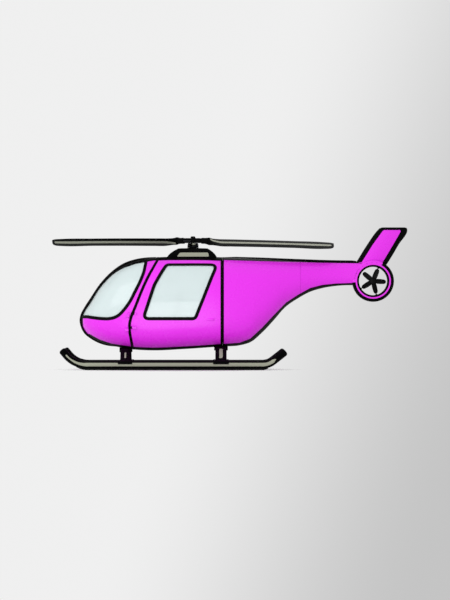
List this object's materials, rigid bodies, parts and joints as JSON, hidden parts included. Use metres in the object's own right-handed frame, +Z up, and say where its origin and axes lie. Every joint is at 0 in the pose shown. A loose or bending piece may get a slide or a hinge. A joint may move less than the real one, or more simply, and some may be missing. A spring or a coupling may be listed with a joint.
{
  "type": "light helicopter",
  "caption": "Light helicopter on skids, with a glazed cabin, hinged doors, a main rotor on a faired mast, a slim tail boom, a shrouded tail fan and a swept fin.",
  "frame": {"origin": "on the ground under the middle of the overall length, in the centre plane of the fuselage", "axes": "+Z up, nose towards -X, left side towards -Y; the rotor mast is 0.770 m ahead of the origin"},
  "size_m": [7.46, 1.9084, 2.985],
  "materials": {
    "magenta_paint": "gloss enamel",
    "grey_enamel": "satin warm grey enamel",
    "black_enamel": "satin black enamel",
    "dark_steel": "dark machined steel",
    "black_rubber": "matte black rubber",
    "tinted_acrylic": "clear with a pale blue tint",
    "cabin_trim": "fine-grained pale grey",
    "seat_fabric": "woven pale blue-grey"
  },
  "bodies": {
    "airframe": {"nose_shell": "magenta_paint", "nose_strip": "black_rubber", "roof_panel": "black_enamel", "belly_panel": "black_enamel", "rear_fuselage": "magenta_paint", "shaft_cover": "black_enamel", "tail_boom": "magenta_paint", "tail_fan_shroud": "magenta_paint", "vertical_fin": "magenta_paint", "windshield_left": "tinted_acrylic", "windshield_right": "tinted_acrylic", "landing_lamp": "tinted_acrylic", "mast_fairing": "grey_enamel", "skid_left": "grey_enamel", "skid_right": "grey_enamel", "cross_tube_front": "grey_enamel", "cross_tube_rear": "grey_enamel", "skid_shoe_left": "black_rubber", "skid_shoe_right": "black_rubber", "main_gearbox": "dark_steel", "engine": "dark_steel", "exhaust_pipe": "dark_steel", "pedals_left": "dark_steel", "pedals_right": "dark_steel", "tail_fan_gearbox": "black_enamel", "air_intake_grille": "black_enamel", "instrument_panel": "black_enamel", "cyclic_left": "black_enamel", "cyclic_right": "black_enamel", "collective": "black_enamel", "cabin_floor": "cabin_trim", "cabin_bulkhead": "cabin_trim", "front_seat_box": "cabin_trim", "rear_seat_box": "cabin_trim", "front_cushion_left": "seat_fabric", "front_cushion_right": "seat_fabric", "front_back_left": "seat_fabric", "front_back_right": "seat_fabric", "rear_cushion": "seat_fabric", "rear_back": "seat_fabric"},
    "left_door": {"door_left": "magenta_paint", "door_window_left": "tinted_acrylic"},
    "right_door": {"door_right": "magenta_paint", "door_window_right": "tinted_acrylic"},
    "main_rotor": {"mast": "grey_enamel", "swashplate": "dark_steel", "rotor_hub": "dark_steel", "main_blade_front": "grey_enamel", "main_blade_rear": "grey_enamel", "pitch_link_front": "dark_steel", "pitch_link_rear": "dark_steel"},
    "fan_rotor": {"tail_fan": "black_enamel"}
  },
  "joints": [
    {"name": "left_door_hinge", "type": "hinge", "parent": "airframe", "child": "left_door", "pos_m": [-2.106, -0.748, 1.005], "axis": [0, 0, -1], "range_deg": [0, 75]},
    {"name": "right_door_hinge", "type": "hinge", "parent": "airframe", "child": "right_door", "pos_m": [-2.106, 0.748, 1.005], "axis": [0, 0, 1], "range_deg": [0, 75]},
    {"name": "main_rotor_spin", "type": "hinge", "parent": "airframe", "child": "main_rotor", "pos_m": [-0.77, 0, 2.7], "axis": [0, 0, 1], "continuous": true},
    {"name": "tail_fan_spin", "type": "hinge", "parent": "airframe", "child": "fan_rotor", "pos_m": [3.01, 0, 1.8585], "axis": [0, 1, 0], "continuous": true}
  ]
}
